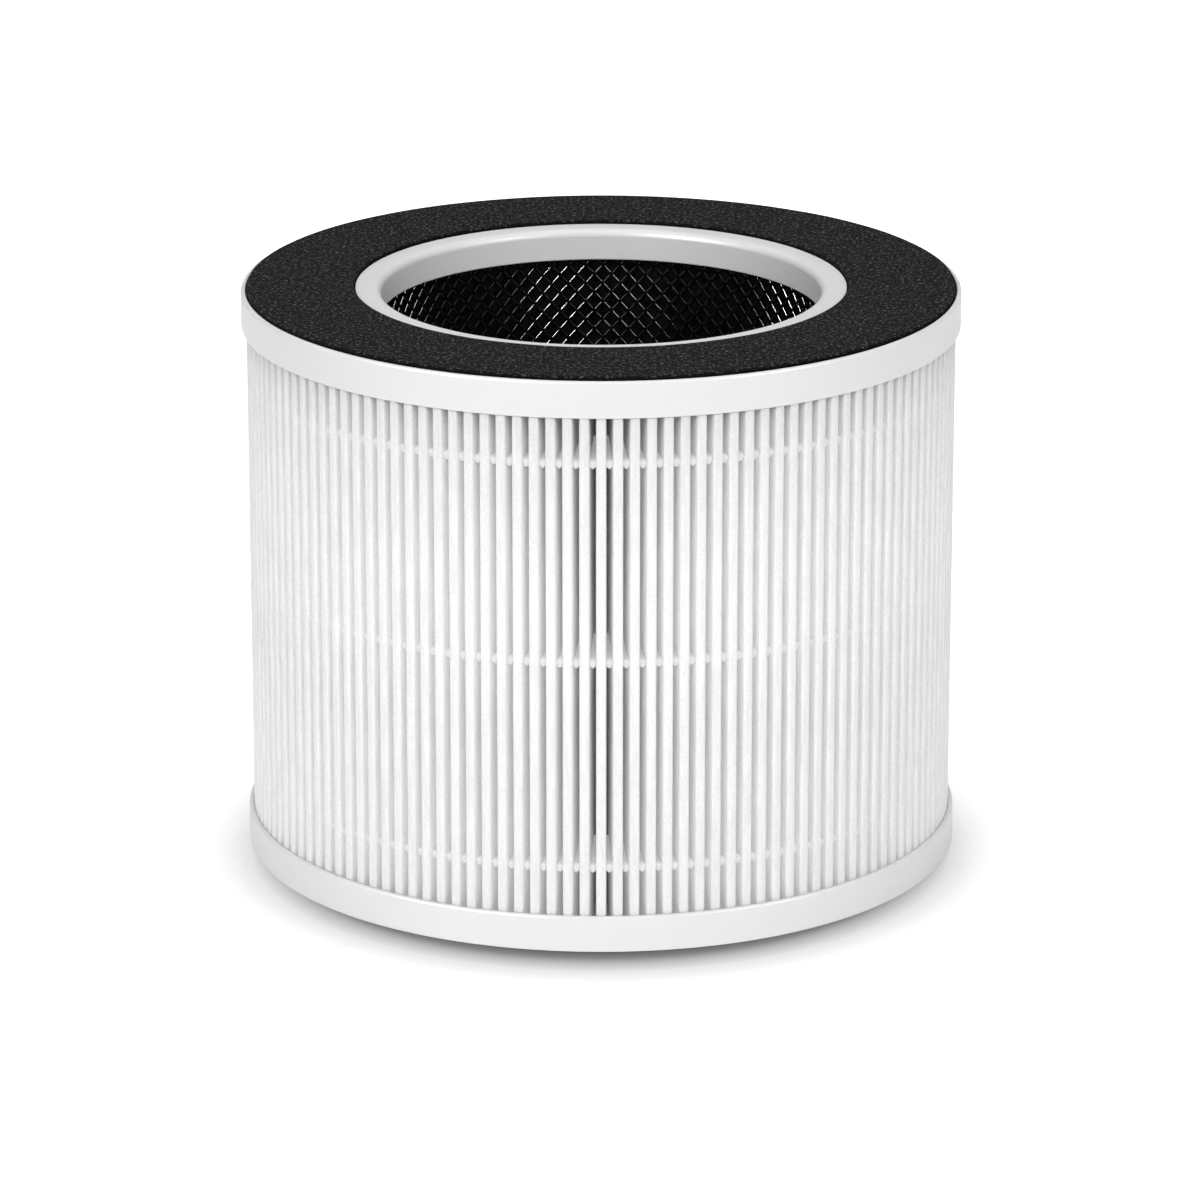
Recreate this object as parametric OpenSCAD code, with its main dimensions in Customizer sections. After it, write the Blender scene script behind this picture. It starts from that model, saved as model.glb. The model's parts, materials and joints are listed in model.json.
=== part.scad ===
// Round air purifier filter: a ring of folded filter paper between two moulded
// end caps, with a granule layer and a netting core inside the folds.
// Millimetres. Z is the filter's axis, and it stands on its closed end at z = 0.
// The open mouth and the foam gasket are at the top.

/* [End caps] */
// Outside diameter of both end caps
cap_d = 190; // [170:1:240]
// Height from the floor to the top of the gasket
filter_h = 153; // [100:0.1:240]
// Height of each cap's outer skirt, measured over the whole cap
cap_h = 9.6; // [8:0.1:16]
// Wall thickness of the skirts
cap_wall = 1.2; // [0.8:0.1:2]
// Thickness of the flat web that closes each ring of folds
cap_web = 1.6; // [1:0.1:2.2]
// Radius of the rounding on the caps' outer edges
rim_round = 0.85; // [0.2:0.05:0.9]

/* [Mouth] */
// Bore of the mouth, which slips over the fan's inlet ring
mouth_d = 116.1; // [90:0.1:130]
// Radial width of the raised collar round the mouth
collar_w = 6.75; // [5:0.05:8]
// Rounding from the collar's flat top into the bore
mouth_round = 2.1; // [0.5:0.1:3]
// Depth of the bore's wall below the top of the collar
mouth_h = 8.4; // [7:0.1:14]

/* [Gasket] */
// Thickness of the die-cut foam ring
gasket_t = 4; // [2:0.1:5]
// How far the foam stands above the rim
gasket_proud = 1; // [0.2:0.1:1.5]
// Gap between the foam and the walls of its recess
gasket_gap = 0.35; // [0.1:0.05:0.8]

/* [Folded paper] */
// Distance from one fold to the next, measured round the tips
fold_pitch = 4.3; // [3.9:0.05:5.4]
// Clearance between the core and the inner edges of the folds
core_gap = 0.7; // [0.2:0.1:2]
// Thickness of the paper
sheet_t = 0.5; // [0.3:0.05:0.6]
// Width of a fold at its outer tip
fold_w = 2.55; // [2.2:0.05:3.1]
// Radius of the two corners of an outer tip
fold_round = 0.6; // [0.6:0.05:1.1]
// Clear width between the two walls at the bottom of a valley
valley_w = 0.3; // [0.15:0.05:0.5]
// Gap between the fold tips and the inside of the skirts
fold_gap = 0.15; // [0.05:0.05:0.5]
// Depth of the glue that joins the sheet's two ends
seam_depth = 4; // [2:0.5:8]

/* [Glue beads] */
// Height of a bead of hot-melt glue
bead_h = 2.6; // [1:0.1:4]
// Distance from the inner edges of the folds to the inner ends of the beads
bead_start = 4; // [2:0.5:10]
// Distance of the upper and lower rows from the skirts' edges
bead_inset = 12.5; // [6:0.1:25]
// Height of the middle row above the middle of the folds
bead_rise = 1.2; // [-5:0.1:5]
// Setback of the beads' noses from the fold tips
bead_setback = 1.1; // [1:0.05:3]

/* [Core] */
// Thickness of the plastic netting
net_t = 0.9; // [0.6:0.1:1.5]
// Width of a strand of the netting
strand_w = 2.4; // [1.2:0.1:4]
// Number of windows round the netting
net_columns = 15; // [8:1:20]
// Number of rows of windows, each half a window above the last
net_rows = 8; // [3:1:8]
// Thickness of the layer of carbon granules
carbon_t = 4.4; // [2:0.1:5]
// Running gap between the core's tubes
tube_gap = 0.1; // [0.05:0.05:0.3]

/* [Potting and base] */
// Thickness of the potting glue in each cap
potting_t = 1.8; // [1:0.1:3]
// Height of the closed middle panel above the floor
panel_rise = 3.2; // [1.5:0.1:5]
// Number of stiffening ribs under the panel
ribs = 8; // [4:1:16]
// Thickness of a rib
rib_t = 1.4; // [0.8:0.1:2.5]
// Radius of the boss where the ribs meet
hub_r = 9; // [5:0.5:20]
// Clearance between the ribs and the floor
rib_clear = 0.8; // [0.3:0.1:1.2]

/* [Hidden] */
$fn = 96;

cap_r = cap_d / 2;
skirt_r = cap_r - cap_wall;
mouth_r = mouth_d / 2;
collar_r = mouth_r + collar_w;
core_r = mouth_r + cap_wall;
// Heights of the top cap, from its rim down
cap_top = filter_h - gasket_proud;
seat_z = filter_h - gasket_t;
web_z = seat_z - cap_web;
skirt_z = cap_top - cap_h;
// The paper and the core's tubes stand between the two rings of potting
stack_z = cap_web + potting_t;
stack_h = web_z - potting_t - stack_z;
// Radii of the core's three tubes, from the inside out
net_in_r = core_r + 3 * tube_gap;
carbon_in_r = net_in_r + net_t + tube_gap;
net_out_r = carbon_in_r + carbon_t + tube_gap;
// Radii of the folds
tip_r = skirt_r - fold_gap;
inner_fold_r = net_out_r + net_t + core_gap;
folds = round(2 * PI * tip_r / fold_pitch);
step = 360 / folds;
corner_steps = 3;
nose_steps = 3;
// The seam lies at the back, at +Y, in the gap before the first fold
first_angle = 90 + step / 2;
// Heights of the three rows of beads
bead_low_z = cap_h + bead_inset;
bead_mid_z = (cap_h + skirt_z) / 2 + bead_rise;
bead_top_z = skirt_z - bead_inset;
edge_round = 0.4;
rim_r = min(rim_round, 0.7 * cap_wall);
cut = 1;

// Rotates a point of the plane about the origin
function turned(p, a) = [p.x * cos(a) - p.y * sin(a), p.x * sin(a) + p.y * cos(a)];
function mirrored(p) = [p.x, -p.y];
function reversed(list) = [for (i = [len(list) - 1 : -1 : 0]) list[i]];
// The angle, in degrees, that a short width spans at a radius
function spanned(width, r) = width / r * 180 / PI;

// One fold lies along +X here, so x is the radius and y is across the fold.
// The outer face starts in the valley on the fold's +y side and ends at its tip.
valley_r = inner_fold_r + sheet_t;
valley_point = turned([valley_r, 0], step / 2 - spanned(valley_w / 2, valley_r));
function tip_corner(r, steps) = [
    for (i = [0 : steps])
        let (a = 90 * i / steps)
            [tip_r - fold_round + r * sin(a), fold_w / 2 - fold_round + r * cos(a)]
];
function closed_face(half) = concat(half, reversed([for (p = half) mirrored(p)]));
outer_face = closed_face(concat([valley_point], tip_corner(fold_round, corner_steps)));
// The inside of the same fold's tip
cavity_face = closed_face(tip_corner(fold_round - sheet_t, 1));
// The rounded inner edge between this fold and the next, at half a step
nose_r = valley_w / 2 + sheet_t;
nose = [
    for (i = [0 : nose_steps])
        let (a = 90 + 180 * i / nose_steps)
            turned([inner_fold_r + nose_r + nose_r * cos(a), nose_r * sin(a)], step / 2)
];

// The point at distance x on the line through two points
function on_line(x, p, q) = [x, p.y + (x - p.x) / (q.x - p.x) * (q.y - p.y)];
// Points on a fold's outer flank and on the flank of the hollow inside it
function flank(x) = on_line(x, valley_point, tip_corner(fold_round, 1)[0]);
function hollow_flank(x) = on_line(x, nose[nose_steps], tip_corner(fold_round - sheet_t, 1)[0]);
// At the seam the sheet's ends are cut square across the wall
seam_outer = flank(inner_fold_r);
seam_inner = hollow_flank(inner_fold_r);

function fold_angle(k) = first_angle + k * step;
function placed(list, k) = [for (p = list) turned(p, fold_angle(k))];
// The outer face of fold k, where the first and last folds end at the seam
function outer_of(k) =
    let (last = len(outer_face) - 1)
        [for (i = [0 : last])
            k == folds - 1 && i == 0 ? seam_outer
                : k == 0 && i == last ? mirrored(seam_outer)
                : outer_face[i]];
// The inner face of fold k, with the rounded edge that leads to the next fold
function inner_of(k) = concat(
    k == 0 ? [mirrored(seam_inner)] : [],
    reversed(cavity_face),
    k == folds - 1 ? [seam_inner] : reversed(nose));
// Out along the outer face, backwards through the folds, and back along the inner face
function sheet_outline() = concat(
    [for (k = [folds - 1 : -1 : 0]) each placed(outer_of(k), k)],
    [for (k = [0 : folds - 1]) each placed(inner_of(k), k)]
);

// The gap between two folds from x0 to x1, with its middle line along +X
module gap_2d(x0, x1) {
    side = [turned(flank(x0), -step / 2), turned(flank(x1), -step / 2)];
    polygon(closed_face(side));
}

// The hollow inside a fold from x0 to x1, with its middle line along +X
module hollow_2d(x0, x1) {
    polygon(closed_face([hollow_flank(x0), hollow_flank(x1)]));
}

// A flat ring with its lower face at z
module ring(r_out, r_in, z, h) {
    translate([0, 0, z])
        difference() {
            cylinder(r = r_out, h = h);
            translate([0, 0, -cut]) cylinder(r = r_in, h = h + 2 * cut);
        }
}

// A quarter of a disc that is cut away to round an outside corner at [x, y],
// where sx and sy point out of the material
module corner_cut(x, y, r, sx, sy) {
    difference() {
        translate([x - (sx > 0 ? r : cut), y - (sy > 0 ? r : cut)])
            square(r + cut);
        translate([x - sx * r, y - sy * r]) circle(r = r);
    }
}

// Section of the top cap: outer skirt and rim, the gasket's seat, and the
// hollow collar whose inner wall is the mouth's bore
module top_section() {
    difference() {
        union() {
            translate([skirt_r, skirt_z]) square([cap_wall, cap_h]);
            translate([collar_r - cap_wall, web_z]) square([cap_r - collar_r, cap_web]);
            translate([collar_r - cap_wall, web_z]) square([cap_wall, cap_top - web_z]);
            translate([mouth_r, cap_top - cap_web]) square([collar_w, cap_web]);
            translate([mouth_r, cap_top - mouth_h]) square([cap_wall, mouth_h]);
        }
        corner_cut(cap_r, cap_top, rim_r, 1, 1);
        corner_cut(cap_r, skirt_z, edge_round, 1, -1);
        corner_cut(mouth_r, cap_top, mouth_round, -1, 1);
        corner_cut(mouth_r, cap_top - mouth_h, edge_round, -1, -1);
    }
}

module top_cap() {
    color("white") rotate_extrude() top_section();
}

module foam_gasket() {
    color("dimgray")
        ring(skirt_r - gasket_gap, collar_r + gasket_gap, seat_z, gasket_t);
}

module top_potting() {
    color("ivory") ring(skirt_r, core_r, web_z - potting_t, potting_t);
}

module bottom_potting() {
    color("ivory") ring(skirt_r, core_r, cap_web, potting_t);
}

// The paper is one sheet, folded to and fro round the filter
module pleated_paper() {
    color("white")
        translate([0, 0, stack_z])
            linear_extrude(stack_h) polygon(sheet_outline());
}

// The sheet's two ends are glued together in the valley at the back
module seam_glue() {
    color("ivory")
        translate([0, 0, stack_z])
            rotate([0, 0, fold_angle(-0.5)])
                linear_extrude(stack_h) gap_2d(inner_fold_r, inner_fold_r + seam_depth);
}

// Section of a bead from x0 to x1, with one end round
module bead_section(x0, x1, round_x1) {
    r = bead_h / 2;
    translate([round_x1 ? x1 - r : x0 + r, 0]) circle(r = r);
    translate([round_x1 ? x0 : x0 + r, -r]) square([x1 - x0 - r, bead_h]);
}

// One bead at height z: its section along the fold, kept to the gap it fills
module bead(x0, x1, z, round_x1) {
    translate([0, 0, z])
        intersection() {
            rotate([90, 0, 0])
                translate([0, 0, -fold_w])
                    linear_extrude(2 * fold_w) bead_section(x0, x1, round_x1);
            translate([0, 0, -bead_h])
                linear_extrude(2 * bead_h) children();
        }
}

// One row of hot-melt beads in the gaps between the folds, seen from outside
module outer_beads(z) {
    x0 = inner_fold_r + max(bead_start, seam_depth);
    x1 = tip_r - bead_setback;
    color("white")
        for (k = [0 : folds - 1])
            rotate([0, 0, fold_angle(k + 0.5)])
                bead(x0, x1, z, true) gap_2d(x0 - cut, x1 + cut);
}

// The matching row on the sheet's other face, inside the folds
module inner_beads(z) {
    x0 = inner_fold_r + bead_setback;
    x1 = tip_r - fold_round;
    color("white")
        for (k = [0 : folds - 1])
            rotate([0, 0, fold_angle(k)])
                bead(x0, x1, z, false) hollow_2d(x0 - cut, x1 + cut);
}

// A netting tube: a wall with rows of diamond windows, each row half a window
// round from the last, so that the wall left between them is crossed strands
module netting(r, z, h) {
    pitch = 2 * PI * r / net_columns;
    row_h = (h - strand_w) / (net_rows + 1);
    half_w = pitch / 2 - strand_w / 2;
    half_h = row_h - strand_w / 2;
    difference() {
        ring(r + net_t, r, z, h);
        for (row = [1 : net_rows], column = [0 : net_columns - 1])
            rotate([0, 0, (column + (row % 2) / 2) * 360 / net_columns])
                translate([r - cut, 0, z + strand_w / 2 + row * row_h])
                    rotate([90, 0, 90])
                        linear_extrude(net_t + 2 * cut)
                            polygon([[half_w, 0], [0, half_h], [-half_w, 0], [0, -half_h]]);
    }
}

module inner_net() {
    color("black") netting(net_in_r, stack_z, stack_h);
}

module outer_net() {
    color("black") netting(net_out_r, stack_z, stack_h);
}

module carbon_layer() {
    color("black") ring(carbon_in_r + carbon_t, carbon_in_r, stack_z, stack_h);
}

// Section of the bottom cap: outer skirt, web, inner skirt and raised panel
module bottom_section() {
    difference() {
        union() {
            translate([skirt_r, 0]) square([cap_wall, cap_h]);
            translate([mouth_r, 0]) square([cap_r - mouth_r, cap_web]);
            translate([mouth_r, 0]) square([cap_wall, cap_h]);
            translate([0, panel_rise]) square([core_r, cap_web]);
        }
        corner_cut(cap_r, cap_h, rim_r, 1, 1);
        corner_cut(cap_r, 0, edge_round, 1, -1);
        corner_cut(mouth_r, 0, edge_round, -1, -1);
        corner_cut(mouth_r, cap_h, edge_round, -1, 1);
    }
}

// The ribs and their boss stand in the recess under the panel, clear of the floor
module panel_ribs() {
    h = panel_rise + cap_web / 2 - rib_clear;
    translate([0, 0, rib_clear]) {
        cylinder(r = hub_r, h = h);
        for (i = [0 : ribs - 1])
            rotate([0, 0, 360 * i / ribs])
                translate([0, -rib_t / 2, 0]) cube([mouth_r + cap_wall / 2, rib_t, h]);
    }
}

module bottom_cap() {
    color("white") {
        rotate_extrude() bottom_section();
        panel_ribs();
    }
}

top_cap();
foam_gasket();
top_potting();
pleated_paper();
seam_glue();
outer_beads(bead_top_z);  // outer_beads_upper
outer_beads(bead_mid_z);  // outer_beads_middle
outer_beads(bead_low_z);  // outer_beads_lower
inner_beads(bead_top_z);  // inner_beads_upper
inner_beads(bead_mid_z);  // inner_beads_middle
inner_beads(bead_low_z);  // inner_beads_lower
outer_net();
carbon_layer();
inner_net();
bottom_potting();
bottom_cap();
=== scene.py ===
# %% [markdown]
# # A round air purifier filter
#
# This lesson dresses a round filter: a ring of folded white paper between two moulded caps, with
# a charcoal foam gasket round the mouth and black netting inside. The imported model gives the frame.
# Each piece below is made in that frame, in metres, with its place in its own mesh, so nothing has
# to be fitted afterwards.

# %% Load the frame
import json
import math

import bmesh
import bpy
import numpy as np
from mathutils import Matrix, Vector, noise


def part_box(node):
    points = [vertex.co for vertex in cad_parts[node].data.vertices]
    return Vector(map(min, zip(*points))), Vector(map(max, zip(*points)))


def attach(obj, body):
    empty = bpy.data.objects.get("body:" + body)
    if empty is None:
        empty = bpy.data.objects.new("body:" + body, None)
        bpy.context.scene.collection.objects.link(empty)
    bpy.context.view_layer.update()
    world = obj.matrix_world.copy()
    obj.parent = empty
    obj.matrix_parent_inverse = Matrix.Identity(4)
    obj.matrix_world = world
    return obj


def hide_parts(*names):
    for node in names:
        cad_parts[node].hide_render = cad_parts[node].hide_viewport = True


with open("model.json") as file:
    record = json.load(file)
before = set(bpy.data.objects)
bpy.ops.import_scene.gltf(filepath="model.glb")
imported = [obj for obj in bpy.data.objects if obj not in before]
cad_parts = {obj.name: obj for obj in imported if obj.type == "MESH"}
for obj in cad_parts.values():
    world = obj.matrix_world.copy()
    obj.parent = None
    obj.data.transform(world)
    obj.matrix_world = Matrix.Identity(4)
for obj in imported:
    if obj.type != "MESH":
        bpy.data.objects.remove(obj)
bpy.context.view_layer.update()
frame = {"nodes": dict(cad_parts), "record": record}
scene = bpy.context.scene
MM = 0.001
print("nodes in the frame:", ", ".join(sorted(frame["nodes"])))

# %% [markdown]
# The main sizes come from the frame itself. A cap's box gives its radius and heights, and the
# record's bore mount gives the mouth's radius. What the boxes can't give, such as a wall or a
# rounding, is a named value in millimetres.

# %% Sizes from the frame, in millimetres
def span(node):
    low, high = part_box(node)
    return low.z / MM, high.z / MM


def outer_radius(node):
    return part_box(node)[1].x / MM


mounts = {m["name"]: m for m in frame["record"]["mounts"]}
mouth_r = mounts["mouth"]["dims"]["r_mm"]
cap_r = outer_radius("top_cap")
skirt_z, rim_z = span("top_cap")
cap_h = span("bottom_cap")[1]
seat_z, foam_z = span("foam_gasket")
stack_low, stack_high = span("pleated_paper")
tip_r = outer_radius("pleated_paper")
cap_wall = 1.2
cap_web = 1.6
skirt_r = cap_r - cap_wall
core_r = mouth_r + cap_wall
collar_r = mouth_r + 6.75
print(f"caps {2 * cap_r:.1f} mm across, {foam_z:.1f} mm tall, mouth {2 * mouth_r:.1f} mm")

# %% [markdown]
# The camera comes first, because every later choice is judged through it. The photograph was taken
# with a long lens from a little above: the ellipses of the two rims give an elevation of about 18
# degrees and a distance of about 1.7 metres. Another way is to turn the camera by eye until the
# outlines agree, but a fit to the ellipses is quicker to trust.

# %% Camera
CAMERA_RISE = math.radians(17.708)
CAMERA_DISTANCE = 1.695
CAMERA_SIDE = -0.0003
AIM = Vector((0, 0, 0.06465))
camera_data = bpy.data.cameras.new("camera")
camera_data.sensor_width = 36
camera_data.lens = 189.75
camera_data.clip_end = 30
camera = bpy.data.objects.new("camera", camera_data)
scene.collection.objects.link(camera)
camera.location = AIM + CAMERA_DISTANCE * Vector((0, -math.cos(CAMERA_RISE), math.sin(CAMERA_RISE)))
camera.location.x = CAMERA_SIDE
camera.rotation_euler = (math.pi / 2 - CAMERA_RISE, 0, 0)
scene.camera = camera
print("camera at", [round(c, 3) for c in camera.location])

# %% [markdown]
# Two helpers turn a bmesh into a finished piece. The first writes the mesh, shades it smooth
# except over sharp edges, and adds weighted normals so that a large flat face stays flat right up
# to its rounded edge. The second hangs the piece on the root body's empty and hides the plain
# solids it stands for.

# %% Helpers for finished pieces
SMOOTH_ANGLE = math.radians(32)
ROUND_ANGLE = math.radians(75)


def make_object(name, bm, material, weighted=True, smooth=SMOOTH_ANGLE):
    mesh = bpy.data.meshes.new(name)
    bm.to_mesh(mesh)
    bm.free()
    mesh.materials.append(material)
    mesh.polygons.foreach_set("use_smooth", [True] * len(mesh.polygons))
    mesh.set_sharp_from_angle(angle=smooth)
    piece = bpy.data.objects.new(name, mesh)
    scene.collection.objects.link(piece)
    if weighted:
        normals = piece.modifiers.new("flat faces", "WEIGHTED_NORMAL")
        normals.keep_sharp = True
    return piece


def place(piece, slot, *nodes):
    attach(piece, "root")
    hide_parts(*nodes)
    print(f"{piece.name}: {len(piece.data.polygons)} faces, stands for {', '.join(nodes)}")


# %% [markdown]
# Caps and gasket are all rings, so they are turned on a lathe: draw the section, round its
# corners, and spin it once round the axis. The corners are rounded while the section is still one
# flat face, because a vertex bevel there gives clean arcs. The face is then dropped and only its
# outline is spun, so no wall is left inside.

# %% A lathe for rings
RING_STEPS = 288
ARC_SEGMENTS = 5


def lathe(corners, steps=RING_STEPS):
    """corners are (radius, height, rounding) in millimetres, in order round the section."""
    bm = bmesh.new()
    verts = [bm.verts.new((r * MM, 0, z * MM)) for r, z, _ in corners]
    bm.faces.new(verts)
    for size in sorted({c[2] for c in corners if c[2] > 0}, reverse=True):
        rounded = [v for v, c in zip(verts, corners) if c[2] == size]
        bmesh.ops.bevel(bm, geom=rounded, offset=size * MM, offset_type="OFFSET",
                        segments=ARC_SEGMENTS, profile=0.5, affect="VERTICES", material=-1)
    bmesh.ops.delete(bm, geom=bm.faces[:], context="FACES_ONLY")
    bmesh.ops.spin(bm, geom=bm.verts[:] + bm.edges[:], cent=(0, 0, 0), axis=(0, 0, 1),
                   angle=math.tau, steps=steps, use_merge=True)
    bmesh.ops.remove_doubles(bm, verts=bm.verts[:], dist=0.001 * MM)
    bmesh.ops.recalc_face_normals(bm, faces=bm.faces[:])
    return bm


# %% [markdown]
# The finishes come next. Several of them share one effect: a fine grain that is a little uneven,
# as moulded, cast and felted surfaces all are. It is built once as a node group with its own
# inputs, and each material gives it another scale. It reads Object coordinates, so the grain stays
# put on the piece from every view.

# %% Node helpers
def new_group(name, inputs, outputs):
    group = bpy.data.node_groups.new(name, "ShaderNodeTree")
    for label, kind, value in inputs:
        socket = group.interface.new_socket(label, in_out="INPUT", socket_type=kind)
        socket.default_value = value
    for label, kind in outputs:
        group.interface.new_socket(label, in_out="OUTPUT", socket_type=kind)
    return group, group.nodes.new("NodeGroupInput"), group.nodes.new("NodeGroupOutput")


def add(tree, kind, settings=None, **inputs):
    """A node with its settings, and each input linked to a socket or set to a value."""
    node = tree.nodes.new(kind)
    for label, value in (settings or {}).items():
        setattr(node, label, value)
    for label, value in inputs.items():
        target = node.inputs[int(label[1:])] if label[1:].isdigit() else node.inputs[label.replace("_", " ")]
        if isinstance(value, bpy.types.NodeSocket):
            tree.links.new(value, target)
        else:
            target.default_value = value
    return node


# %% A grain that several finishes share
grain, grain_in, grain_out = new_group(
    "fine_grain",
    [("Scale", "NodeSocketFloat", 1000.0), ("Detail", "NodeSocketFloat", 3.0),
     ("Stretch", "NodeSocketVector", (1.0, 1.0, 1.0)), ("Turn", "NodeSocketVector", (0.0, 0.0, 0.0))],
    [("Value", "NodeSocketFloat")])
coordinates = add(grain, "ShaderNodeTexCoord")
turned = add(grain, "ShaderNodeMapping", {"vector_type": "POINT"}, Vector=coordinates.outputs["Object"],
             Rotation=grain_in.outputs["Turn"], Scale=grain_in.outputs["Stretch"])
grain_noise = add(grain, "ShaderNodeTexNoise", Vector=turned.outputs["Vector"],
                  Scale=grain_in.outputs["Scale"], Detail=grain_in.outputs["Detail"], Roughness=0.6)
grain.links.new(grain_noise.outputs["Fac"], grain_out.inputs["Value"])
print("node group fine_grain has", len(grain.nodes), "nodes")

# %% A material starts from its constants
def new_material(name, color, roughness, **constants):
    material = bpy.data.materials.new(name)
    material.use_nodes = True
    tree = material.node_tree
    shader = tree.nodes["Principled BSDF"]
    shader.inputs["Base Color"].default_value = (*color, 1)
    shader.inputs["Roughness"].default_value = roughness
    for label, value in constants.items():
        shader.inputs[label.replace("_", " ")].default_value = value
    material.diffuse_color = (*color, 1)
    return material, tree, shader


def use_grain(tree, scale, detail=3.0, stretch=(1, 1, 1), turn=(0, 0, 0)):
    node = tree.nodes.new("ShaderNodeGroup")
    node.node_tree = grain
    node.inputs["Scale"].default_value = scale
    node.inputs["Detail"].default_value = detail
    node.inputs["Stretch"].default_value = stretch
    node.inputs["Turn"].default_value = turn
    return node.outputs["Value"]


def ramp(tree, value, low, high, out_low, out_high):
    node = add(tree, "ShaderNodeMapRange", Value=value)
    node.inputs["From Min"].default_value = low
    node.inputs["From Max"].default_value = high
    node.inputs["To Min"].default_value = out_low
    node.inputs["To Max"].default_value = out_high
    return node.outputs["Result"]


def tint(tree, value, dark, light):
    node = add(tree, "ShaderNodeMix", {"data_type": "RGBA"})
    tree.links.new(value, node.inputs["Factor"])
    for socket in node.inputs:
        if socket.type == "RGBA":
            socket.default_value = (*(dark if socket.name == "A" else light), 1)
    return next(s for s in node.outputs if s.type == "RGBA")


def bump(tree, shader, height, distance, strength=1.0):
    node = add(tree, "ShaderNodeBump", Height=height, Distance=distance * MM, Strength=strength)
    tree.links.new(node.outputs["Normal"], shader.inputs["Normal"])


# %% [markdown]
# The caps are white moulded plastic with a satin face. Plain gloss would look wet, and plain matt
# like plaster, so the roughness sits between and wanders a little with a broad grain, and a much
# finer one gives the skin its faint pebble.

# %% Moulded plastic
plastic, tree, shader = new_material("cap_plastic", (0.75, 0.75, 0.75), 0.42, Specular_IOR_Level=0.45)
tree.links.new(ramp(tree, use_grain(tree, 60), 0.3, 0.7, 0.36, 0.48), shader.inputs["Roughness"])
tree.links.new(tint(tree, use_grain(tree, 35), (0.74, 0.74, 0.74), (0.76, 0.76, 0.76)),
               shader.inputs["Base Color"])
bump(tree, shader, use_grain(tree, 2600, 2), 0.012, 0.5)

# %% [markdown]
# The foam is charcoal with an open, felted face: near black, with fine lighter specks where cell
# walls catch the light, painted into the colour of the top face as highlights. Its cut side wall is
# painted near black as shade. A grain at two scales carries both the speckle and the relief, and a
# little sheen lifts the face at low angles as fuzz does.

# %% Gasket foam
foam_finish, tree, shader = new_material("gasket_foam", (0.03, 0.03, 0.031), 0.95,
                                         Specular_IOR_Level=0.05, Sheen_Weight=0.01, Sheen_Roughness=0.5)
cells = use_grain(tree, 1150, 2)
clumps = use_grain(tree, 700, 3)
speckle = add(tree, "ShaderNodeMath", {"operation": "MULTIPLY"}, _0=ramp(tree, cells, 0.54, 0.66, 0, 1),
              _1=ramp(tree, clumps, 0.35, 0.65, 0.4, 1)).outputs["Value"]
height = add(tree, "ShaderNodeSeparateXYZ", Vector=add(tree, "ShaderNodeTexCoord").outputs["Object"]).outputs["Z"]
# Painted shade: below the top face the cut wall is painted near black; the specks, painted highlights, show only
# on top.
painted_wall_shade_mask = ramp(tree, height, (foam_z - 0.6) * MM, (foam_z - 0.2) * MM, 0, 1)
seen = add(tree, "ShaderNodeMath", {"operation": "MULTIPLY"}, _0=speckle, _1=painted_wall_shade_mask).outputs["Value"]
tree.links.new(tint(tree, seen, (0.002, 0.002, 0.002), (0.12, 0.12, 0.124)), shader.inputs["Base Color"])
bump(tree, shader, cells, 0.25, 1.0)

# %% [markdown]
# Filter paper is a mat of fine white fibres. Its flanks show a faint slanted hatch, so a grain is
# drawn out along one slanted direction and mixed with a rounder one. Thin paper also lets light
# through: each fold is lit from inside by the light that its neighbours pass on, less and less
# towards the core. A true simulation takes minutes, so a weak painted glow that fades with the
# distance from the tips stands for it. It keeps the gaps grey instead of black. The painted glow is
# also stronger near the foot, where it lifts the lower folds.

# %% Filter paper
PAPER_GLOW = 0.04
FOOT_GLOW = 0.15
paper, tree, shader = new_material("filter_paper", (0.82, 0.82, 0.82), 0.85, Specular_IOR_Level=0.2)
hatch = use_grain(tree, 700, 3, stretch=(1, 1, 0.12), turn=(math.radians(40), 0, math.radians(20)))
mat_grain = use_grain(tree, 1800, 4)
fibres = add(tree, "ShaderNodeMath", {"operation": "ADD"}, _0=hatch, _1=mat_grain).outputs["Value"]
tree.links.new(tint(tree, ramp(tree, fibres, 0.8, 1.2, 0, 1), (0.77, 0.77, 0.77), (0.87, 0.87, 0.87)),
               shader.inputs["Base Color"])
point = add(tree, "ShaderNodeTexCoord").outputs["Object"]
level = add(tree, "ShaderNodeVectorMath", {"operation": "MULTIPLY"}, _0=point, _1=(1, 1, 0)).outputs["Vector"]
height = add(tree, "ShaderNodeSeparateXYZ", Vector=point).outputs["Z"]
# Painted light: a glow that is strongest at the foot and dimmer towards the core, in place of light through the
# paper.
tree.links.new(ramp(tree, height, cap_h * MM, 60 * MM, FOOT_GLOW, PAPER_GLOW), shader.inputs["Emission Strength"])
from_axis = add(tree, "ShaderNodeVectorMath", {"operation": "LENGTH"}, _0=level).outputs["Value"]
through = ramp(tree, from_axis, outer_radius("outer_net") * MM, tip_r * MM, 0.1, 1)
tree.links.new(tint(tree, through, (0, 0, 0), (1, 1, 1)), shader.inputs["Emission Color"])
bump(tree, shader, fibres, 0.05, 0.6)

# %% [markdown]
# Hot-melt glue sets smooth and milky. The same goes for the potting in the caps, which is a little
# yellower. Both get a wavy, low grain with no fine detail, since glue flows before it sets. The
# hot-melt also gets a painted glow, so that its beads stay bright deep in the shaded gaps; the
# potting has none.

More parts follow.
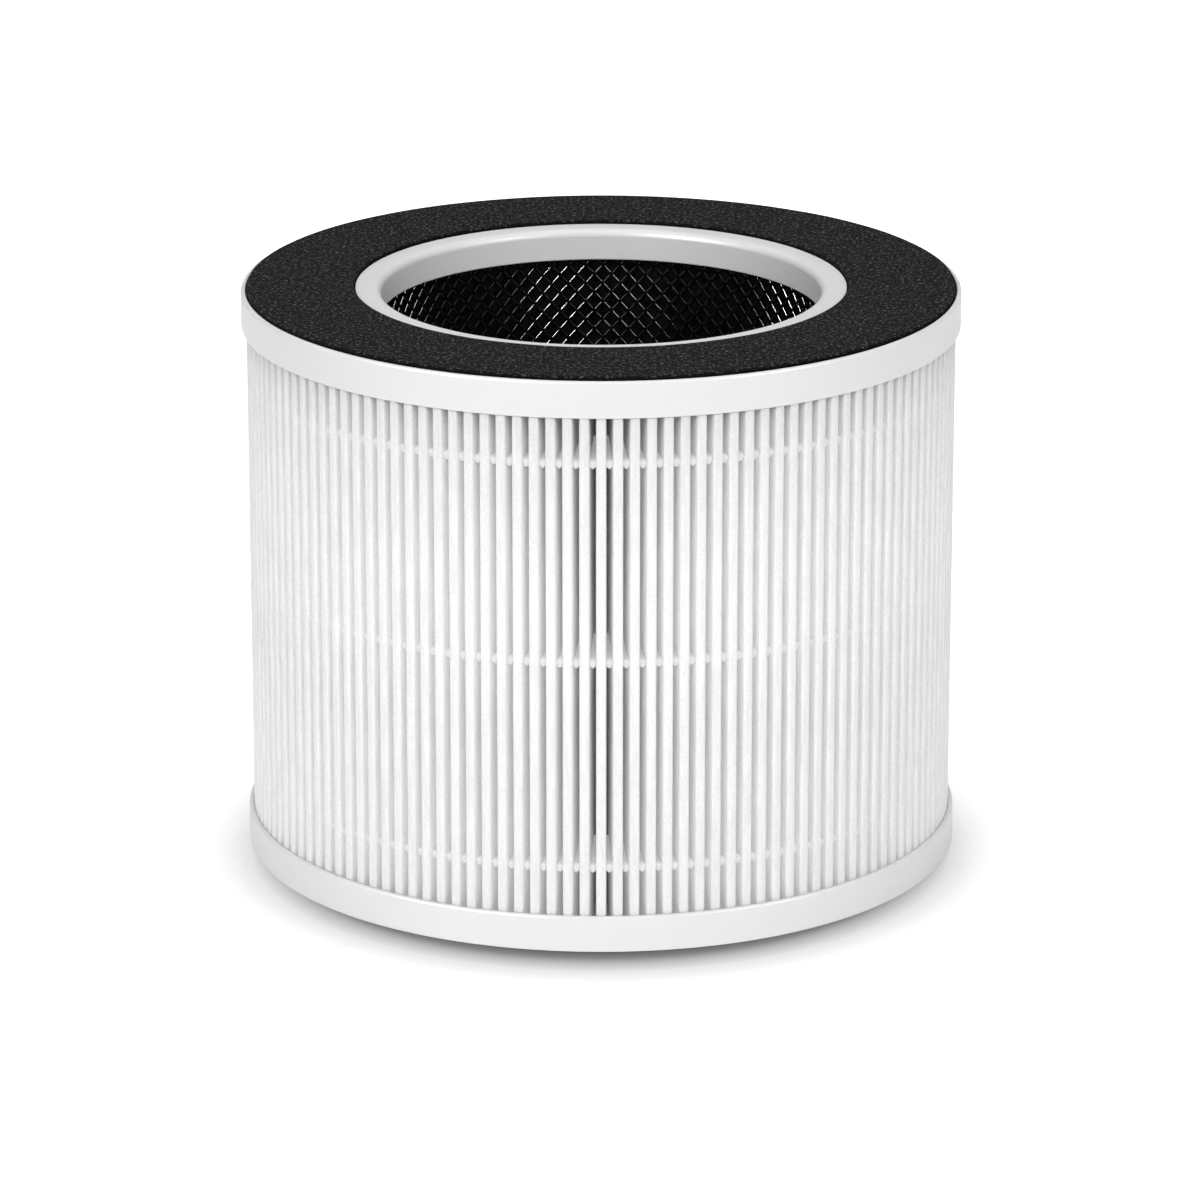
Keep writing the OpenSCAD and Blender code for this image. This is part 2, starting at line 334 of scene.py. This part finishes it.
# %% Glue
def glue(name, dark, light, roughness, painted_glow_level):
    material, tree, shader = new_material(name, light, roughness, Specular_IOR_Level=0.2,
                                          Emission_Color=(1, 1, 1, 1), Emission_Strength=painted_glow_level)
    flow = use_grain(tree, 220, 1)
    tree.links.new(tint(tree, flow, dark, light), shader.inputs["Base Color"])
    tree.links.new(ramp(tree, flow, 0.3, 0.7, roughness - 0.06, roughness + 0.06), shader.inputs["Roughness"])
    bump(tree, shader, flow, 0.1, 0.5)
    return material


# Painted light: the hot-melt glows at 0.22, the potting not at all.
hot_melt = glue("hot_melt", (0.48, 0.48, 0.48), (0.54, 0.54, 0.54), 0.6, 0.22)
potting = glue("potting_glue", (0.76, 0.74, 0.67), (0.84, 0.82, 0.76), 0.4, 0)

# %% [markdown]
# The netting is glossy black plastic, so it shows mostly as glints. Where two strands cross they
# are fused and dull, which breaks the glints into dashes. The crossings lie at regular angles and
# heights, so two cosines of the angle and the height find them. The granules behind are dull
# charcoal: each grain is a lump of its own in the mesh, and the finish adds the dusty tone.

# %% Netting and granules
STRANDS = 80
STRAND_ANGLE = math.radians(47.4)
LAYER_SHIFT = 0.22
net_low, net_high = span("inner_net")
net_r = outer_radius("inner_net") - 0.45


def crossing(tree):
    """1 where two strands cross and -1 halfway between."""
    at = add(tree, "ShaderNodeSeparateXYZ", Vector=add(tree, "ShaderNodeTexCoord").outputs["Object"]).outputs
    angle = add(tree, "ShaderNodeMath", {"operation": "ARCTAN2"}, _0=at["Y"], _1=at["X"]).outputs["Value"]
    waves = []
    for sense in (-1, 1):
        turn = STRANDS * sense / math.tan(STRAND_ANGLE) / (net_r + sense * LAYER_SHIFT)
        climb = add(tree, "ShaderNodeMath", {"operation": "MULTIPLY_ADD"}, _0=at["Z"], _1=-turn / MM,
                    _2=turn * net_low).outputs["Value"]
        phase = add(tree, "ShaderNodeMath", {"operation": "MULTIPLY_ADD"}, _0=angle, _1=STRANDS, _2=climb)
        waves.append(add(tree, "ShaderNodeMath", {"operation": "COSINE"}, _0=phase.outputs["Value"]))
    return add(tree, "ShaderNodeMath", {"operation": "MULTIPLY"}, _0=waves[0].outputs["Value"],
               _1=waves[1].outputs["Value"]).outputs["Value"]


netting, tree, shader = new_material("net_plastic", (0.003, 0.003, 0.003), 0.25, Coat_Roughness=0.12)
fused = crossing(tree)
tree.links.new(ramp(tree, fused, 0.3, 0.7, 0.12, 0), shader.inputs["Specular IOR Level"])
tree.links.new(ramp(tree, fused, 0.3, 0.7, 1, 0), shader.inputs["Coat Weight"])
tree.links.new(ramp(tree, use_grain(tree, 300), 0.3, 0.7, 0.2, 0.34), shader.inputs["Roughness"])
bump(tree, shader, use_grain(tree, 500, 1), 0.08, 0.7)

carbon, tree, shader = new_material("carbon", (0.008, 0.008, 0.008), 0.9, Specular_IOR_Level=0.0)
tree.links.new(tint(tree, ramp(tree, use_grain(tree, 500, 4), 0.35, 0.7, 0, 1), (0.002, 0.002, 0.002),
                    (0.01, 0.01, 0.0105)), shader.inputs["Base Color"])
bump(tree, shader, use_grain(tree, 1500, 3), 0.15, 0.8)

# %% [markdown]
# The top cap is one moulded ring: an outer skirt that hides the ends of the folds, a recess for
# the gasket, and a hollow collar round the mouth. The lip of the mouth has the largest rounding,
# because the fan's inlet ring slides over it.

# %% Top cap
RIM_ROUND = 0.84
EDGE_ROUND = 0.4
LIP_ROUND = 2.1
INNER_ROUND = 0.2
mouth_low = rim_z - 8.4
web_z = seat_z - cap_web
top_corners = [
    (cap_r, skirt_z, EDGE_ROUND), (cap_r, rim_z, RIM_ROUND), (skirt_r, rim_z, INNER_ROUND),
    (skirt_r, seat_z, 0), (collar_r, seat_z, 0), (collar_r, rim_z, INNER_ROUND),
    (mouth_r, rim_z, LIP_ROUND), (mouth_r, mouth_low, EDGE_ROUND), (core_r, mouth_low, INNER_ROUND),
    (core_r, rim_z - cap_web, 0), (collar_r - cap_wall, rim_z - cap_web, 0),
    (collar_r - cap_wall, web_z, 0), (skirt_r, web_z, 0), (skirt_r, skirt_z, INNER_ROUND)]
top_ring = make_object("top_end_cap", lathe(top_corners), plastic)
place(top_ring, "cap_plastic", "top_cap")

# %% [markdown]
# The bottom cap closes the filter. Its middle is a raised panel, stiffened from below by radial
# ribs and a boss. The panel is turned with the ring, and one rib is made as a bevelled bar and
# spun into its copies.

# %% Bottom cap
PANEL_RISE = 3.2
HUB_R = 9
RIBS = 8
RIB_T = 1.4
RIB_CLEAR = 0.8
RIB_ROUND = 0.3
bottom_corners = [
    (cap_r, 0, EDGE_ROUND), (cap_r, cap_h, RIM_ROUND), (skirt_r, cap_h, INNER_ROUND),
    (skirt_r, cap_web, 0), (core_r, cap_web, 0), (core_r, cap_h, INNER_ROUND), (mouth_r, cap_h, EDGE_ROUND),
    (mouth_r, PANEL_RISE + cap_web, 0), (0, PANEL_RISE + cap_web, 0), (0, PANEL_RISE, 0),
    (mouth_r, PANEL_RISE, 0), (mouth_r, 0, EDGE_ROUND)]


def panel_ribs(bm):
    """Radial ribs with round lower edges, and the boss where they meet, sunk a little in the panel."""
    top = PANEL_RISE + 0.3
    bar = bmesh.ops.create_cube(bm, size=1)["verts"]
    start = HUB_R - RIB_ROUND
    length = mouth_r + cap_wall / 2 - start
    bmesh.ops.scale(bm, vec=(length * MM, RIB_T * MM, (top - RIB_CLEAR) * MM), verts=bar)
    bmesh.ops.translate(bm, vec=((start + length / 2) * MM, 0, (top + RIB_CLEAR) / 2 * MM), verts=bar)
    lower = [e for e in {e for v in bar for e in v.link_edges}
             if all(abs(v.co.z - RIB_CLEAR * MM) < 1e-7 for v in e.verts)
             and abs(e.verts[0].co.x - e.verts[1].co.x) > length / 2 * MM]
    bmesh.ops.bevel(bm, geom=lower, offset=RIB_ROUND * MM, offset_type="OFFSET", segments=3, profile=0.5,
                    affect="EDGES", material=-1)
    rib = bm.verts[:] + bm.edges[:] + bm.faces[:]
    bmesh.ops.spin(bm, geom=rib, cent=(0, 0, 0), axis=(0, 0, 1), angle=math.tau * (RIBS - 1) / RIBS,
                   steps=RIBS - 1, use_duplicate=True)
    before = set(bm.verts)
    bmesh.ops.create_cone(bm, cap_ends=True, segments=96, radius1=HUB_R * MM, radius2=HUB_R * MM,
                          depth=(top - RIB_CLEAR) * MM)
    boss = [v for v in bm.verts if v not in before]
    bmesh.ops.translate(bm, vec=(0, 0, (top + RIB_CLEAR) / 2 * MM), verts=boss)
    foot = [e for e in {e for v in boss for e in v.link_edges}
            if all(v.co.z < (RIB_CLEAR + 0.01) * MM for v in e.verts)]
    bmesh.ops.bevel(bm, geom=foot, offset=RIB_ROUND * MM, offset_type="OFFSET", segments=3, profile=0.5,
                    affect="EDGES", material=-1)
    return bm


def joined(target, source):
    """Adds the geometry of source to target through a scratch mesh."""
    mesh = bpy.data.meshes.new("joining")
    source.to_mesh(mesh)
    source.free()
    target.from_mesh(mesh)
    bpy.data.meshes.remove(mesh)
    return target


bottom_bm = joined(lathe(bottom_corners), panel_ribs(bmesh.new()))
bottom_ring = make_object("bottom_end_cap", bottom_bm, plastic)
place(bottom_ring, "cap_plastic", "bottom_cap")

# %% [markdown]
# The gasket is a foam ring that lies in the recess and stands a little above both rims, so that it
# seals before plastic meets plastic. Die-cut foam has crisp but soft edges, and a cut wall that
# bulges a hair. The top face gets a shallow, slow unevenness, moved in the mesh.

# %% Foam gasket
GASKET_GAP = 0.35
FOAM_EDGE = 0.5
FOAM_WAVE = 0.05
foam_in = collar_r + GASKET_GAP
foam_out = skirt_r - GASKET_GAP
foam_corners = [(foam_in, seat_z, 0), (foam_in, foam_z - 0.03, FOAM_EDGE),
                ((foam_in + foam_out) / 2, foam_z - 0.03, 0),
                (foam_out, foam_z - 0.03, FOAM_EDGE), (foam_out, seat_z, 0)]
foam_bm = lathe(foam_corners)
for v in foam_bm.verts:
    if v.co.z > (foam_z - 0.2) * MM:
        v.co.z += FOAM_WAVE * MM * (noise.noise(v.co * 60) - 0.5)
foam_ring = make_object("foam_ring", foam_bm, foam_finish)
place(foam_ring, "gasket_foam", "foam_gasket")

# %% [markdown]
# The folded paper is the heart of the filter: one sheet, creased to and fro, with 137 folds. Only
# one fold is modelled. Its four creases are drawn from above and pulled up to the full height, the
# two tip creases are rounded, and the fold is spun into its copies. A fold is narrow at its tip and
# wide at its foot, so the gaps are deep wedges that close towards the middle. The sheet's
# thickness comes last, from a Solidify modifier.

# %% One fold
FOLDS = 137
STEP = math.tau / FOLDS
SHEET_T = 0.5
FOLD_W = 2.55
FOLD_ROUND = 0.6
VALLEY_W = 0.3
FIRST_ANGLE = math.pi / 2 + STEP / 2
inner_fold_r = outer_radius("outer_net") + 0.7
valley_r = inner_fold_r + SHEET_T
BEAD_ROWS = {name: sum(span(f"outer_beads_{name}")) / 2 for name in ("upper", "middle", "lower")}


def fold_outline():
    """The fold's creases from above in millimetres, from one valley to the next."""
    a = STEP / 2 - VALLEY_W / 2 / valley_r
    foot = Vector((valley_r * math.cos(a), valley_r * math.sin(a), 0))
    next_foot = Matrix.Rotation(-STEP, 3, "Z") @ foot
    return [foot, Vector((tip_r, FOLD_W / 2, 0)), Vector((tip_r, -FOLD_W / 2, 0)),
            Vector((foot.x, -foot.y, 0)), next_foot]


def one_fold():
    bm = bmesh.new()
    points = [bm.verts.new((p.x * MM, p.y * MM, stack_low * MM)) for p in fold_outline()]
    creases = [bm.edges.new(pair) for pair in zip(points, points[1:])]
    raised = bmesh.ops.extrude_edge_only(bm, edges=creases)["geom"]
    raised = [v for v in raised if isinstance(v, bmesh.types.BMVert)]
    bmesh.ops.translate(bm, vec=(0, 0, (stack_high - stack_low) * MM), verts=raised)
    tips = [e for e in bm.edges if all(v.co.x > (tip_r - 0.01) * MM for v in e.verts)
            and abs(e.verts[0].co.z - e.verts[1].co.z) > MM]
    bmesh.ops.bevel(bm, geom=tips, offset=FOLD_ROUND * MM, offset_type="OFFSET", segments=3, profile=0.5,
                    affect="EDGES", material=-1)
    return bm


fold = one_fold()
print("one fold has", len(fold.faces), "faces; bead rows at", {k: round(z, 1) for k, z in BEAD_ROWS.items()})

# %% [markdown]
# Now the fold is spun into all its copies, and the copies are welded along their valleys. At the
# back the sheet's two ends meet, so the bottom of that one valley is left open. The faces must
# point outwards before the thickness is added, and the first tip shows which way they point.

# %% The whole sheet
def repeat_round(bm, count):
    bmesh.ops.spin(bm, geom=bm.verts[:] + bm.edges[:] + bm.faces[:], cent=(0, 0, 0), axis=(0, 0, 1),
                   angle=math.tau * (count - 1) / count, steps=count - 1, use_duplicate=True)


bmesh.ops.rotate(fold, cent=(0, 0, 0), matrix=Matrix.Rotation(FIRST_ANGLE, 3, "Z"), verts=fold.verts[:])
repeat_round(fold, FOLDS)
bmesh.ops.remove_doubles(fold, verts=fold.verts[:], dist=0.005 * MM)
seam = [f for f in fold.faces
        if f.calc_center_median().xy.length < (valley_r + 0.05) * MM
        and f.calc_center_median().y > 0 and abs(f.calc_center_median().x) < 0.1 * MM]
bmesh.ops.delete(fold, geom=seam, context="FACES")
bmesh.ops.recalc_face_normals(fold, faces=fold.faces[:])
tip_face = max(fold.faces, key=lambda f: f.calc_center_median().xy.length)
if tip_face.normal.xy.dot(tip_face.calc_center_median().xy) < 0:
    bmesh.ops.reverse_faces(fold, faces=fold.faces[:])
sheet = make_object("folded_paper", fold, paper, weighted=False)
thickness = sheet.modifiers.new("sheet thickness", "SOLIDIFY")
thickness.thickness = SHEET_T * MM
thickness.offset = -1
place(sheet, "filter_paper", "pleated_paper")

# %% [markdown]
# Each gap between two folds holds three beads of hot-melt glue, laid as a string across the sheet
# before it was folded. Seen from outside, a bead is a rounded drop with a small point below, and a
# bar that runs back into the gap and narrows with it. One bead starts as a disc deep in the gap;
# the disc is extruded outwards, and resized at each station.

# %% One glue bead
BEAD_SIDES = 12
BEAD_SQUARE = 0.7
BEAD_DEEP = inner_fold_r + 4
BEAD_NOSE = tip_r - 0.9
# Each station: distance behind the nose, extra half width beyond the gap, half height, in mm
BEAD_STATIONS = ((3.0, 0.1, 1.15), (1.2, 0.3, 1.15), (0.5, 0.25, 1.0), (0.15, 0.05, 0.75), (0.0, -0.35, 0.35))
BEAD_DROP = 0.4


def gap_half_width(x):
    """Half the clear gap between two folds at a bead, in millimetres, at distance x from the axis."""
    depth = (x - valley_r) / (tip_r - valley_r)
    return VALLEY_W / 2 + depth * (math.tan(STEP / 2) * tip_r - FOLD_W / 2 - VALLEY_W / 2)


def one_bead():
    bm = bmesh.new()
    bmesh.ops.create_circle(bm, cap_ends=True, segments=BEAD_SIDES, radius=1.0)
    for v in bm.verts:
        v.co.xy = [math.copysign(abs(c) ** BEAD_SQUARE, c) for c in v.co.xy]
    bmesh.ops.rotate(bm, cent=(0, 0, 0), matrix=Matrix.Rotation(math.pi / 2, 3, "Y"), verts=bm.verts[:])
    width, height = gap_half_width(BEAD_DEEP) + 0.1, 1.2
    bmesh.ops.scale(bm, vec=(1, width * MM, height * MM), verts=bm.verts[:])
    bmesh.ops.translate(bm, vec=(BEAD_DEEP * MM, 0, 0), verts=bm.verts[:])
    front, x = bm.faces[:], BEAD_DEEP
    for back, extra, new_height in BEAD_STATIONS:
        new_x = BEAD_NOSE - back
        new_width = gap_half_width(new_x) + extra
        grown = bmesh.ops.extrude_face_region(bm, geom=front)["geom"]
        verts = [v for v in grown if isinstance(v, bmesh.types.BMVert)]
        bmesh.ops.delete(bm, geom=front, context="FACES_ONLY")
        front = [f for f in grown if isinstance(f, bmesh.types.BMFace)]
        bmesh.ops.translate(bm, vec=((new_x - x) * MM, 0, 0), verts=verts)
        bmesh.ops.scale(bm, vec=(1, new_width / width, new_height / height), verts=verts)
        x, width, height = new_x, new_width, new_height
    for v in bm.verts:
        if abs(v.co.y) < 0.01 * MM and v.co.z < 0 and v.co.x > (BEAD_NOSE - 2) * MM:
            v.co.z -= BEAD_DROP * MM
    bmesh.ops.recalc_face_normals(bm, faces=bm.faces[:])
    return bm


# %% Three rows of beads
for name, height in BEAD_ROWS.items():
    bead = one_bead()
    bmesh.ops.translate(bead, vec=(0, 0, height * MM), verts=bead.verts[:])
    bmesh.ops.rotate(bead, cent=(0, 0, 0), matrix=Matrix.Rotation(math.pi / 2, 3, "Z"), verts=bead.verts[:])
    repeat_round(bead, FOLDS)
    row = make_object(f"glue_beads_{name}", bead, hot_melt, weighted=False, smooth=ROUND_ANGLE)
    place(row, "hot_melt", f"outer_beads_{name}")

# %% [markdown]
# The netting inside the mouth is extruded diamond mesh: two layers of thin strands that wind in
# opposite senses and are fused where they cross. One strand is a small hexagon swept along a helix
# by a spin that also climbs, then repeated round the tube. A mirrored copy makes the other layer.

# %% Diamond netting
STRAND_R = 0.3
STRAND_STEPS = 36


def strand_layer(radius, sense):
    bm = bmesh.new()
    bmesh.ops.create_circle(bm, cap_ends=False, segments=6, radius=STRAND_R * MM)
    climb = net_high - net_low
    travel = climb / math.tan(STRAND_ANGLE) / radius
    tilt = Matrix.Rotation(STRAND_ANGLE - math.pi / 2, 3, "X")
    bmesh.ops.rotate(bm, cent=(0, 0, 0), matrix=tilt, verts=bm.verts[:])
    bmesh.ops.translate(bm, vec=(radius * MM, 0, net_low * MM), verts=bm.verts[:])
    bmesh.ops.spin(bm, geom=bm.verts[:] + bm.edges[:], cent=(0, 0, 0), axis=(0, 0, 1),
                   dvec=(0, 0, climb / STRAND_STEPS * MM), angle=travel, steps=STRAND_STEPS)
    if sense < 0:
        bmesh.ops.scale(bm, vec=(1, -1, 1), verts=bm.verts[:])
    bmesh.ops.recalc_face_normals(bm, faces=bm.faces[:])
    repeat_round(bm, STRANDS)
    return bm


net_bm = joined(strand_layer(net_r - LAYER_SHIFT, -1), strand_layer(net_r + LAYER_SHIFT, 1))
net_tube = make_object("diamond_netting", net_bm, netting, weighted=False, smooth=ROUND_ANGLE)
place(net_tube, "net_plastic", "inner_net")

# %% [markdown]
# Behind the netting lies a bed of charcoal granules. Thousands of loose grains would be heavy, and
# only the face towards the mouth shows. So the bed is a turned tube whose inner wall has a fine
# mesh, and each point is pushed back by how far it lies from the nearest grain's centre.

# %% Granule bed
BED_STEPS = 360
BED_ROWS = 130
GRAIN_SIZE = 1.9
GRAIN_DEPTH = 0.9
bed_out = outer_radius("carbon_layer")
bed_in = bed_out - 4.4
bed = bmesh.new()
section = [(bed_in, stack_low), (bed_in, stack_high), (bed_out, stack_high), (bed_out, stack_low)]
corners = [bed.verts.new((r * MM, 0, z * MM)) for r, z in section]
sides = [bed.edges.new((corners[i - 1], corners[i])) for i in range(len(corners))]
bmesh.ops.subdivide_edges(bed, edges=[sides[1]], cuts=BED_ROWS - 1)
bmesh.ops.spin(bed, geom=bed.verts[:] + bed.edges[:], cent=(0, 0, 0), axis=(0, 0, 1), angle=math.tau,
               steps=BED_STEPS, use_merge=True)
bmesh.ops.remove_doubles(bed, verts=bed.verts[:], dist=0.001 * MM)
bmesh.ops.recalc_face_normals(bed, faces=bed.faces[:])
for v in bed.verts:
    on_wall = v.co.xy.length < (bed_in + 0.1) * MM
    if on_wall and stack_low + 0.5 < v.co.z / MM < stack_high - 0.5:
        near = noise.voronoi(v.co / (GRAIN_SIZE * MM), distance_metric="DISTANCE")[0][0]
        push = GRAIN_DEPTH * min(near, 1) * MM
        v.co.xy = v.co.xy * (1 + push / v.co.xy.length)
granules = make_object("granule_bed", bed, carbon, weighted=False)
place(granules, "carbon", "carbon_layer")

# %% [markdown]
# The remaining solids are right as they are. They lie behind the folds or inside the caps, so they
# only need their finish, which goes into each solid's own material slots.

# %% Finishes of the solids that stay
def finish_node(node, material):
    mesh = frame["nodes"][node].data
    mesh.materials.clear()
    mesh.materials.append(material)


for node in ("top_potting", "bottom_potting"):
    finish_node(node, potting)
for node in ("seam_glue", "inner_beads_upper", "inner_beads_middle", "inner_beads_lower"):
    finish_node(node, hot_melt)
finish_node("outer_net", netting)

# %% [markdown]
# The set is a pale floor under soft light. The floor must look white without more light on the
# filter, so its material adds a little glow that only camera and glossy rays see. The shadow round
# the foot is partly cast by the lamps and partly a painted shadow: a ramp over the distance from a
# point a little in front of the axis darkens the floor's colour and glow for those rays, while the
# filter still gets the light of the whole pale floor.

# %% Floor
FLOOR_SIZE = 8
FLOOR_GLOW = 0.7
FLOOR_TONE = 0.86
# The painted shadow round the foot: its centre's shift to the front, and stops of distance in mm and tone.
SHADOW_SHIFT = 15
SHADOW_STOPS = ((80, 0.05), (84, 0.12), (88, 0.3), (94, 0.52), (102, 0.66), (110, 0.76), (120, 0.88), (132, 1.0))
floor_bm = bmesh.new()
bmesh.ops.create_grid(floor_bm, x_segments=1, y_segments=1, size=FLOOR_SIZE / 2)
floor_finish, tree, shader = new_material("pale_floor", [FLOOR_TONE] * 3, 0.6, Specular_IOR_Level=0.2)
light_path = add(tree, "ShaderNodeLightPath")
seen = add(tree, "ShaderNodeMath", {"operation": "MAXIMUM"}, _0=light_path.outputs["Is Camera Ray"],
           _1=light_path.outputs["Is Glossy Ray"])
shifted = add(tree, "ShaderNodeVectorMath", {"operation": "ADD"},
              _0=add(tree, "ShaderNodeTexCoord").outputs["Object"], _1=(0, SHADOW_SHIFT * MM, 0)).outputs["Vector"]
from_foot = add(tree, "ShaderNodeVectorMath", {"operation": "LENGTH"}, _0=shifted).outputs["Value"]
# Painted shadow: this ramp darkens the floor near the foot for camera and glossy rays only.
painted_shadow_ramp = add(tree, "ShaderNodeValToRGB", Fac=ramp(tree, from_foot, SHADOW_STOPS[0][0] * MM,
                                                   SHADOW_STOPS[-1][0] * MM, 0, 1))
for r, tone in SHADOW_STOPS:
    place_on = (r - SHADOW_STOPS[0][0]) / (SHADOW_STOPS[-1][0] - SHADOW_STOPS[0][0])
    stops = painted_shadow_ramp.color_ramp.elements
    stop = stops[0] if r == SHADOW_STOPS[0][0] else stops[-1] if r == SHADOW_STOPS[-1][0] else stops.new(place_on)
    stop.color = (tone, tone, tone, 1)
painted_shadow_tone = painted_shadow_ramp.outputs["Color"]
unseen = add(tree, "ShaderNodeMath", {"operation": "SUBTRACT"}, _0=1.0, _1=seen.outputs["Value"])
painted_shadow_seen_only = add(tree, "ShaderNodeMath", {"operation": "MAXIMUM"}, _0=painted_shadow_tone, _1=unseen.outputs["Value"])
tree.links.new(tint(tree, painted_shadow_seen_only.outputs["Value"], (0, 0, 0), [FLOOR_TONE] * 3), shader.inputs["Base Color"])
glow = add(tree, "ShaderNodeEmission", Color=(1, 1, 1, 1))
strength = add(tree, "ShaderNodeMath", {"operation": "MULTIPLY"}, _0=seen.outputs["Value"], _1=painted_shadow_tone)
tree.links.new(add(tree, "ShaderNodeMath", {"operation": "MULTIPLY"}, _0=strength.outputs["Value"],
                   _1=FLOOR_GLOW).outputs["Value"], glow.inputs["Strength"])
both = add(tree, "ShaderNodeAddShader", _0=shader.outputs["BSDF"], _1=glow.outputs["Emission"])
tree.links.new(both.outputs["Shader"], tree.nodes["Material Output"].inputs["Surface"])
floor = make_object("pale_floor", floor_bm, floor_finish, weighted=False)

# %% [markdown]
# A white world gives most of the soft light, as a bright studio does. One large lamp in front and
# above makes the middle of the caps a little brighter than their sides, and a second lamp shines
# from above. Two small ones at the sides show only in glossy reflections, where they make the
# netting glint.

# %% World and lamps
WORLD_LEVEL = 0.42
world = bpy.data.worlds.new("studio")
scene.world = world
world.use_nodes = True
tree = world.node_tree
background = tree.nodes["Background"]
background.inputs["Color"].default_value = (1, 1, 1, 1)
light_path = add(tree, "ShaderNodeLightPath")
seen = add(tree, "ShaderNodeMath", {"operation": "MAXIMUM"}, _0=light_path.outputs["Is Camera Ray"],
           _1=light_path.outputs["Is Transmission Ray"])
level = add(tree, "ShaderNodeMapRange", Value=seen.outputs["Value"])
level.inputs["To Min"].default_value = WORLD_LEVEL
level.inputs["To Max"].default_value = 1.0
tree.links.new(level.outputs["Result"], background.inputs["Strength"])


def lamp(name, place_at, aim, size, watts, only_glints=False, glints=True):
    data = bpy.data.lights.new(name, "AREA")
    data.shape = "RECTANGLE"
    data.size, data.size_y = size
    data.energy = watts
    obj = bpy.data.objects.new(name, data)
    scene.collection.objects.link(obj)
    obj.location = place_at
    obj.rotation_euler = (Vector(aim) - Vector(place_at)).to_track_quat("-Z", "Y").to_euler()
    obj.visible_diffuse = not only_glints
    obj.visible_glossy = glints
    print(f"{name}: {watts} W, {size[0]} x {size[1]} m")


lamp("front_lamp", (0, -2.2, 1.1), (0, 0, 0.08), (4.2, 1.2), 42, glints=False)
lamp("top_lamp", (0, 0.2, 2.4), (0, 0, 0.1), (1.8, 1.8), 20)
lamp("left_glint", (-1.46, -1.23, 1.42), (0, 0, 0.13), (0.6, 0.6), 190, only_glints=True)
lamp("right_glint", (1.62, -1.01, 1.42), (0, 0, 0.13), (0.6, 0.6), 60, only_glints=True)

# %% [markdown]
# White paper sends nearly all light on, so the depth of a gap is lit by light that has met many
# walls. Four diffuse bounces, the usual number, would leave the gaps far too dark.

# %% Bounces and view settings
scene.cycles.diffuse_bounces = 8
scene.view_settings.view_transform = "Standard"
